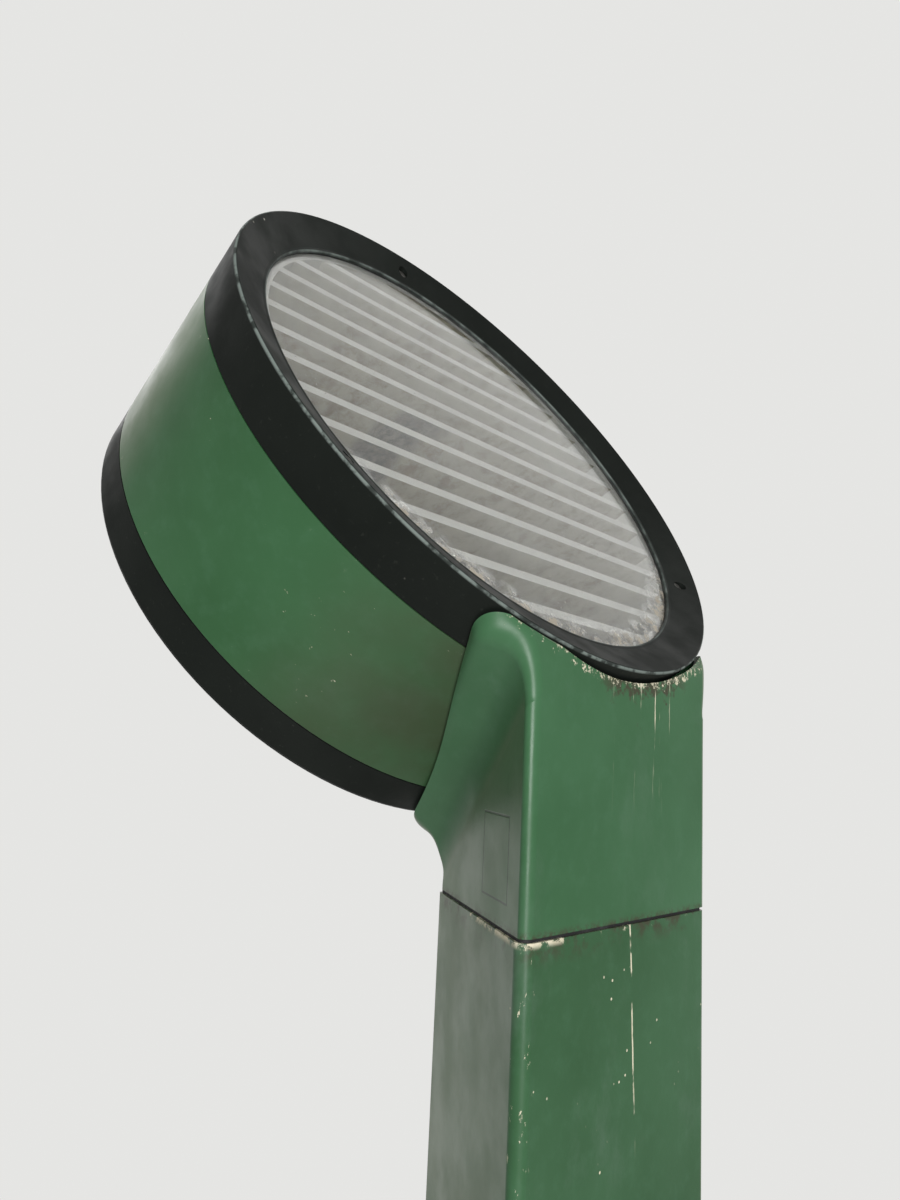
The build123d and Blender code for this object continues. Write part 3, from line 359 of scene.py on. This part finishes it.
def neck_paint():
    """The neck's paint, with a blank engraved frame low on its left face."""
    graph, where, height = green_paint("neck_paint", NECK_GREENS, neck_marks, 0.22)
    corner = (-POST_WIDTH / 2, FRONT_Y, 0)
    along = graph.along(where, corner, (math.sin(SIDE_SLOPE), math.cos(SIDE_SLOPE), 0))
    rise = graph.along(where, (0, 0, SEAM_Z), (0, 0, 1))
    outside = graph.along(where, corner, (-math.cos(SIDE_SLOPE), math.sin(SIDE_SLOPE), 0))
    on_face = graph.band(outside, 0.0, 0.006, 0.001)
    across = graph.math("ABSOLUTE", graph.math("SUBTRACT", along, PANEL_ALONG))
    across = graph.math("SUBTRACT", across, PANEL_HALF_WIDTH)
    up = graph.math("ABSOLUTE", graph.math("SUBTRACT", rise, PANEL_RISE))
    up = graph.math("SUBTRACT", up, PANEL_HALF_HEIGHT)
    groove = graph.band(graph.either(across, up), 0.0, 0.0004, 0.0004)
    groove = graph.both(groove, on_face)
    # Painted shade: the engraved frame's lines are also coloured dark, as shade in a groove.
    old = graph.shader.inputs["Base Color"].links[0].from_socket
    graph.set("Base Color", graph.mix(graph.both(groove, 0.7), old, (0.03, 0.045, 0.03, 1)))
    graph.bump(graph.math("SUBTRACT", height, graph.both(groove, 1.5)), *PAINT_BUMP)
    return graph.material


def black_trim():
    """Satin anthracite with a soft green cast, dusty clouds and bright rims that are part wear, part painted
    highlight.
    """
    graph = Graph("anthracite_trim")
    where = graph.place()
    across, upward, depth = graph.drum_place()
    cloud = graph.noise(where, 9.0, 4, 0.6)
    colour = graph.mix(graph.step(cloud, 0.3, 0.7), (0.0060, 0.0078, 0.0064, 1), (0.0100, 0.0125, 0.0104, 1))
    dust = graph.step(graph.noise(where, 240.0, 3, 0.7), 0.60, 0.85, 0.0, 0.35)
    colour = graph.mix(dust, colour, (0.06, 0.065, 0.055, 1))
    radius = graph.length(across, upward)
    # Painted highlight with wear: the rounded outer rim and the aperture lip are lightened in broken lines.
    rim = graph.both(graph.step(radius, 0.2084, 0.2094), graph.step(depth, 0.0022, 0.0008))
    rim = graph.both(rim, graph.step(graph.noise(where, 60.0, 4, 0.7), 0.42, 0.56, 0.12, 0.8))
    lip_wear_and_highlight = graph.both(graph.band(radius, 0.1822, 0.0003, 0.0006), graph.step(depth, 0.0125, 0.0115))
    lip_wear_and_highlight = graph.both(lip_wear_and_highlight, graph.step(graph.noise(where, 45.0, 3), 0.4, 0.6, 0.15, 0.6))
    wear_and_highlight = graph.either(rim, lip_wear_and_highlight)
    colour = graph.mix(wear_and_highlight, colour, (0.22, 0.26, 0.24, 1))
    specks = graph.both(graph.step(graph.spots(where, 110.0), 0.07, 0.11, 1.0, 0.0),
                        graph.step(graph.noise(where, 17.0, 3), 0.61, 0.68))
    colour = graph.mix(specks, colour, (0.35, 0.34, 0.30, 1))
    graph.set("Base Color", colour)
    graph.set("Roughness", graph.step(graph.noise(where, 30.0, 4), 0.3, 0.7, 0.40, 0.58))
    graph.shader.inputs["Specular IOR Level"].default_value = 0.12
    graph.bump(graph.noise(where, 700.0, 2), 0.25, 0.0002)
    return graph.material


# --- Plain finishes for the inner pieces ----------------------------------------------------
def metal(name, colour, rough, scale=(1, 1, 1)):
    """Bare or plated metal with faint lines and clouds."""
    graph = Graph(name)
    where = graph.scaled(graph.place(), scale)
    lines = graph.noise(where, 90.0, 5, 0.7)
    dark = tuple(0.72 * c for c in colour) + (1,)
    graph.set("Base Color", graph.mix(graph.step(lines, 0.3, 0.7), dark, tuple(colour) + (1,)))
    graph.shader.inputs["Metallic"].default_value = 1.0
    graph.set("Roughness", graph.step(lines, 0.3, 0.7, rough, min(rough + 0.18, 1.0)))
    graph.bump(lines, 0.15, 0.0002)
    return graph.material


def moulded(name, colour, rough, grain=260.0):
    """Plastic, rubber or glazed surface with fine grain and a little dust."""
    graph = Graph(name)
    where = graph.place()
    fine = graph.noise(where, grain, 3, 0.6)
    dust = graph.step(graph.noise(where, 18.0, 5, 0.7), 0.5, 0.75, 0.0, 0.4)
    pale = tuple(min(1.0, 0.12 + 1.15 * c) for c in colour) + (1,)
    graph.set("Base Color", graph.mix(dust, tuple(colour) + (1,), pale))
    graph.set("Roughness", graph.step(fine, 0.3, 0.7, rough, min(rough + 0.15, 1.0)))
    graph.bump(fine, 0.2, 0.0003)
    return graph.material


def cast_iron_paint():
    graph = Graph("cast_base_paint")
    where = graph.place()
    rust = graph.step(graph.noise(where, 28.0, 6, 0.7), 0.56, 0.68)
    colour = graph.mix(rust, (0.022, 0.028, 0.026, 1), (0.10, 0.045, 0.02, 1))
    graph.set("Base Color", colour)
    graph.set("Roughness", graph.step(rust, 0.0, 1.0, 0.55, 0.85))
    graph.bump(graph.noise(where, 260.0, 5, 0.7), 0.5, 0.0006)
    return graph.material


# --- Glass and louvre -----------------------------------------------------------------------
def dusty_glass():
    """Clear glass with a thin film of dust that thickens at the lower edge."""
    graph = Graph("dusty_glass")
    where = graph.place()
    across, upward, depth = graph.drum_place()
    radius = graph.length(across, upward)
    film = graph.step(graph.noise(where, 16.0, 5, 0.65), 0.40, 0.80, 0.0, 0.07)
    rim = graph.both(graph.step(radius, 0.158, 0.181), graph.step(upward, -0.05, -0.13))
    crust = graph.both(rim, graph.step(graph.noise(where, 85.0, 6, 0.75), 0.46, 0.60))
    specks = graph.both(graph.step(graph.spots(where, 190.0), 0.07, 0.11, 1.0, 0.0),
                        graph.step(graph.noise(where, 23.0, 3), 0.55, 0.62, 0.0, 0.5))
    dust = graph.either(graph.either(film, crust), specks)
    tint = graph.mix(graph.noise(where, 60.0, 5, 0.75), (0.66, 0.63, 0.54, 1), (0.26, 0.20, 0.12, 1))
    graph.set("Base Color", graph.mix(graph.step(dust, 0.16, 0.6), (0.96, 0.965, 0.95, 1), tint))
    graph.set("Roughness", graph.step(dust, 0.0, 1.0, 0.02, 0.6))
    graph.set("Transmission Weight", graph.math("SUBTRACT", 1.0, dust, clamp=True))
    graph.shader.inputs["IOR"].default_value = 1.5
    return graph.material


def louvre_white():
    """White grid: bright front edges, dusty brown undersides that also carry painted shade, and a painted
    dark band of shade.
    """
    graph = Graph("louvre_white")
    where = graph.place()
    across, upward, depth = graph.drum_place()
    facing = graph.node("NewGeometry").outputs["Normal"]
    down = -(UPWARD * math.cos(BEZEL_TURN) + ACROSS * math.sin(BEZEL_TURN))
    # Painted shade with dirt: faces turned downward get the dusty brown colour, which also stands for the
    # shade under each blade.
    underside_dirt_and_shade = graph.step(graph.along(facing, (0, 0, 0), down), 0.4, 0.8)
    white = graph.mix(graph.noise(where, 40.0, 4), (0.80, 0.80, 0.77, 1), (0.70, 0.70, 0.66, 1))
    mottled = graph.noise(where, 70.0, 6, 0.72)
    beige = graph.mix(graph.step(mottled, 0.42, 0.70), (0.42, 0.40, 0.31, 1), (0.24, 0.19, 0.11, 1))
    centre_blot = graph.noise(where, 9.0, 3)
    beige = graph.mix(graph.step(centre_blot, 0.45, 0.6, 0.0, 0.6), beige, (0.50, 0.50, 0.42, 1))
    # Painted shade: a dark curved band across the blade undersides, broken up by noise.
    bend = graph.length(graph.math("SUBTRACT", across, 0.060), graph.math("ADD", upward, 0.235))
    shade_band = graph.band(bend, 0.2600, 0.008, 0.008)
    shade_band = graph.both(shade_band, graph.step(graph.noise(where, 220.0, 4, 0.8), 0.30, 0.62, 1.0, 0.55))
    shade_band = graph.both(shade_band, graph.step(across, -0.02, -0.06))
    beige = graph.mix(shade_band, beige, (0.05, 0.05, 0.048, 1))
    graph.set("Base Color", graph.mix(underside_dirt_and_shade, white, beige))
    graph.set("Roughness", graph.step(mottled, 0.3, 0.7, 0.35, 0.6))
    graph.bump(mottled, 0.2, 0.0004)
    return graph.material


FINISHES = {
    "steel": metal("zinc_steel", (0.55, 0.55, 0.53), 0.32, (1, 1, 6)),
    "screw": metal("weathered_screw", (0.24, 0.235, 0.22), 0.42, (3, 3, 3)),
    "cast": metal("raw_casting", (0.50, 0.51, 0.52), 0.48, (2, 2, 2)),
    "brass": metal("brass", (0.62, 0.45, 0.18), 0.30, (2, 2, 2)),
    "bowl": metal("reflector_bowl", (0.80, 0.79, 0.76), 0.22),
    "rubber": moulded("black_rubber", (0.012, 0.012, 0.012), 0.70),
    "silicone": moulded("grey_silicone", (0.025, 0.025, 0.024), 0.60),
    "ceramic": moulded("steatite", (0.74, 0.72, 0.66), 0.30),
    "grey": moulded("grey_plastic", (0.20, 0.21, 0.215), 0.45),
    "black": moulded("black_nylon", (0.015, 0.015, 0.016), 0.42),
    "core": moulded("varnished_core", (0.03, 0.022, 0.018), 0.35),
    "base": cast_iron_paint(),
    "post": plain_paint("post_paint", POST_GREENS, post_marks, 0.45),
    "neck": neck_paint(),
    "drum": plain_paint("drum_paint", DRUM_GREENS, drum_marks, 0.15),
    "trim": black_trim(),
    "glass": dusty_glass(),
    "louvre": louvre_white(),
}
WEARS = {
    "base_plate": "base", "base_spigot": "base", "post_shell": "post", "neck_shell": "neck",
    "drum_housing": "drum", "access_door": "post", "hinge_leaf": "post", "front_bezel": "trim",
    "rear_cover": "trim", "lens_glass": "glass", "louvre": "louvre", "reflector": "bowl",
    "post_sleeve": "cast", "saddle_bracket": "cast", "earth_stud": "brass", "lamp_holder": "ceramic",
    "lamp_bulb": "glass", "lens_gasket": "silicone", "ballast": "core", "capacitor": "bowl",
    "ignitor": "grey", "terminal_box": "grey", "terminal_box_lid": "grey", "terminal_strip": "black",
    "gear_terminal_block": "black", "box_glands": "black", "drum_gland": "black", "supply_cable": "rubber",
    "door_gasket": "rubber", "seam_gasket": "rubber", "saddle_pad": "rubber", "rear_gasket": "rubber",
    "bezel_gasket": "rubber", "terminal_rail": "steel", "gear_tray": "steel", "holder_bracket": "steel",
    "lens_clips": "steel", "lock_cam": "steel", "neck_bolts": "steel", "drum_bolts": "steel",
}


def dress(node, material):
    """Gives a CAD node its finish through its material slots."""
    thing = nodes[node]
    if not thing.material_slots:
        thing.data.materials.append(material)
    for holder in thing.material_slots:
        holder.material = material


for node in sorted(nodes):
    dress(node, FINISHES[WEARS.get(node, "screw")])
